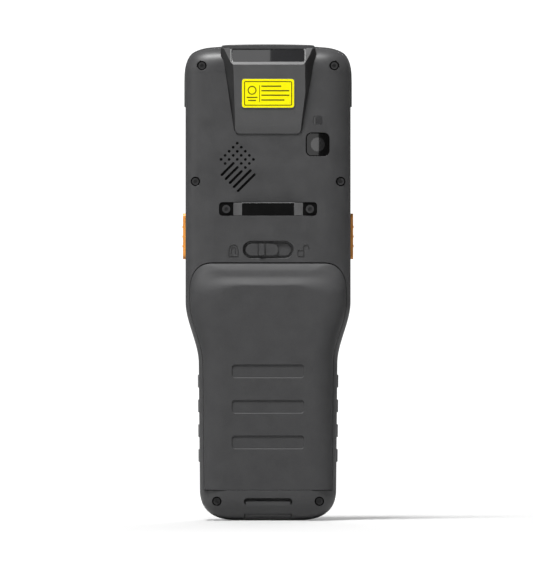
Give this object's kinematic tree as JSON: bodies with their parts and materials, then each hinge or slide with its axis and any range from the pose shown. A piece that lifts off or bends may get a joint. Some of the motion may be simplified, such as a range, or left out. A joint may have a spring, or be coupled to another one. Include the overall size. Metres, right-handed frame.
{
  "type": "portable barcode data terminal",
  "caption": "Upright hand-held data terminal with scanner hood, strap bar, latched tip-out battery pack, side scan buttons, keypad and touch display.",
  "frame": {"origin": "centre of the flat lower end, on the surface that the terminal stands on, in the plane where the two housings meet", "axes": "+Z along the body towards the scanner hood, +X across it to the right as seen from behind, +Y towards the display; the battery pack faces -Y"},
  "size_m": [0.0746, 0.0276, 0.207],
  "materials": {
    "grey_plastic": "fine spark texture",
    "dark_rubber": "matt",
    "grey_rubber": "matt",
    "tinted_window": "polished",
    "yellow_plate": "printed",
    "black_plastic": "matt",
    "black_glass": "polished",
    "smoked_window": "satin",
    "black_mesh": "woven",
    "black_metal": "semi-gloss",
    "screw_steel": "black oxide",
    "steel": "plain",
    "cell_wrap": "film",
    "gold_contacts": "plated",
    "black_rubber": "matt",
    "magnesium": "cast",
    "board_green": "solder mask",
    "orange_plastic": "satin",
    "key_plastic": "satin"
  },
  "bodies": {
    "terminal": {"rear_housing": "grey_plastic", "front_housing": "grey_plastic", "top_bumper": "dark_rubber", "side_grips": "grey_rubber", "scanner_hood": "grey_plastic", "scan_window": "tinted_window", "hood_plate": "yellow_plate", "scan_engine": "black_plastic", "scan_lens": "tinted_window", "scan_bracket": "steel", "camera_window": "black_glass", "camera_module": "black_plastic", "flash_window": "smoked_window", "speaker": "black_plastic", "speaker_mesh": "black_mesh", "strap_bar": "black_metal", "strap_screws": "screw_steel", "casing_screws": "screw_steel", "latch_guide": "steel", "battery_seal": "black_rubber", "bay_contacts": "gold_contacts", "case_gasket": "black_rubber", "mid_frame": "magnesium", "main_board": "board_green", "keypad_board": "board_green", "keypad_mat": "black_rubber", "display_module": "black_plastic", "touch_glass": "black_glass", "earpiece_mesh": "black_mesh", "indicator_light": "smoked_window", "side_switches": "steel", "usb_socket": "steel", "dock_contacts": "gold_contacts", "vibration_motor": "steel"},
    "battery_pack": {"battery_cover": "grey_plastic", "battery_tray": "black_plastic", "battery_cell": "cell_wrap", "battery_contacts": "gold_contacts"},
    "latch": {"latch_slider": "grey_plastic", "latch_bolt": "steel"},
    "left_button": {"side_button_left": "orange_plastic"},
    "right_button": {"side_button_right": "orange_plastic"},
    "key_1": {"key_1": "key_plastic"},
    "key_2": {"key_2": "key_plastic"},
    "key_3": {"key_3": "key_plastic"},
    "key_4": {"key_4": "key_plastic"},
    "key_5": {"key_5": "key_plastic"},
    "key_6": {"key_6": "key_plastic"},
    "key_7": {"key_7": "key_plastic"},
    "key_8": {"key_8": "key_plastic"},
    "key_9": {"key_9": "key_plastic"},
    "key_star": {"key_star": "key_plastic"},
    "key_0": {"key_0": "key_plastic"},
    "key_hash": {"key_hash": "key_plastic"},
    "key_scan": {"key_scan": "orange_plastic"},
    "key_up": {"key_up": "key_plastic"},
    "key_down": {"key_down": "key_plastic"},
    "key_left": {"key_left": "key_plastic"},
    "key_right": {"key_right": "key_plastic"},
    "key_power": {"key_power": "key_plastic"}
  },
  "joints": [
    {"name": "pack_tilt", "type": "hinge", "parent": "terminal", "child": "battery_pack", "pos_m": [0, -0.0153, 0.0131], "axis": [1, 0, 0], "range_deg": [0, 60]},
    {"name": "latch_slide", "type": "slide", "parent": "terminal", "child": "latch", "axis": [1, 0, 0], "range_m": [0, 0.0053]},
    {"name": "left_button_press", "type": "slide", "parent": "terminal", "child": "left_button", "axis": [1, 0, 0], "range_m": [0, 0.0008], "stiffness_N_per_m": 1500},
    {"name": "right_button_press", "type": "slide", "parent": "terminal", "child": "right_button", "axis": [-1, 0, 0], "range_m": [0, 0.0008], "stiffness_N_per_m": 1500},
    {"name": "key_1_press", "type": "slide", "parent": "terminal", "child": "key_1", "axis": [0, -1, 0], "range_m": [0, 0.0007], "stiffness_N_per_m": 1000},
    {"name": "key_2_press", "type": "slide", "parent": "terminal", "child": "key_2", "axis": [0, -1, 0], "range_m": [0, 0.0007], "stiffness_N_per_m": 1000},
    {"name": "key_3_press", "type": "slide", "parent": "terminal", "child": "key_3", "axis": [0, -1, 0], "range_m": [0, 0.0007], "stiffness_N_per_m": 1000},
    {"name": "key_4_press", "type": "slide", "parent": "terminal", "child": "key_4", "axis": [0, -1, 0], "range_m": [0, 0.0007], "stiffness_N_per_m": 1000},
    {"name": "key_5_press", "type": "slide", "parent": "terminal", "child": "key_5", "axis": [0, -1, 0], "range_m": [0, 0.0007], "stiffness_N_per_m": 1000},
    {"name": "key_6_press", "type": "slide", "parent": "terminal", "child": "key_6", "axis": [0, -1, 0], "range_m": [0, 0.0007], "stiffness_N_per_m": 1000},
    {"name": "key_7_press", "type": "slide", "parent": "terminal", "child": "key_7", "axis": [0, -1, 0], "range_m": [0, 0.0007], "stiffness_N_per_m": 1000},
    {"name": "key_8_press", "type": "slide", "parent": "terminal", "child": "key_8", "axis": [0, -1, 0], "range_m": [0, 0.0007], "stiffness_N_per_m": 1000},
    {"name": "key_9_press", "type": "slide", "parent": "terminal", "child": "key_9", "axis": [0, -1, 0], "range_m": [0, 0.0007], "stiffness_N_per_m": 1000},
    {"name": "key_star_press", "type": "slide", "parent": "terminal", "child": "key_star", "axis": [0, -1, 0], "range_m": [0, 0.0007], "stiffness_N_per_m": 1000},
    {"name": "key_0_press", "type": "slide", "parent": "terminal", "child": "key_0", "axis": [0, -1, 0], "range_m": [0, 0.0007], "stiffness_N_per_m": 1000},
    {"name": "key_hash_press", "type": "slide", "parent": "terminal", "child": "key_hash", "axis": [0, -1, 0], "range_m": [0, 0.0007], "stiffness_N_per_m": 1000},
    {"name": "key_scan_press", "type": "slide", "parent": "terminal", "child": "key_scan", "axis": [0, -1, 0], "range_m": [0, 0.0007], "stiffness_N_per_m": 1000},
    {"name": "key_up_press", "type": "slide", "parent": "terminal", "child": "key_up", "axis": [0, -1, 0], "range_m": [0, 0.0007], "stiffness_N_per_m": 1000},
    {"name": "key_down_press", "type": "slide", "parent": "terminal", "child": "key_down", "axis": [0, -1, 0], "range_m": [0, 0.0007], "stiffness_N_per_m": 1000},
    {"name": "key_left_press", "type": "slide", "parent": "terminal", "child": "key_left", "axis": [0, -1, 0], "range_m": [0, 0.0007], "stiffness_N_per_m": 1000},
    {"name": "key_right_press", "type": "slide", "parent": "terminal", "child": "key_right", "axis": [0, -1, 0], "range_m": [0, 0.0007], "stiffness_N_per_m": 1000},
    {"name": "key_power_press", "type": "slide", "parent": "terminal", "child": "key_power", "axis": [0, -1, 0], "range_m": [0, 0.0007], "stiffness_N_per_m": 1000}
  ]
}
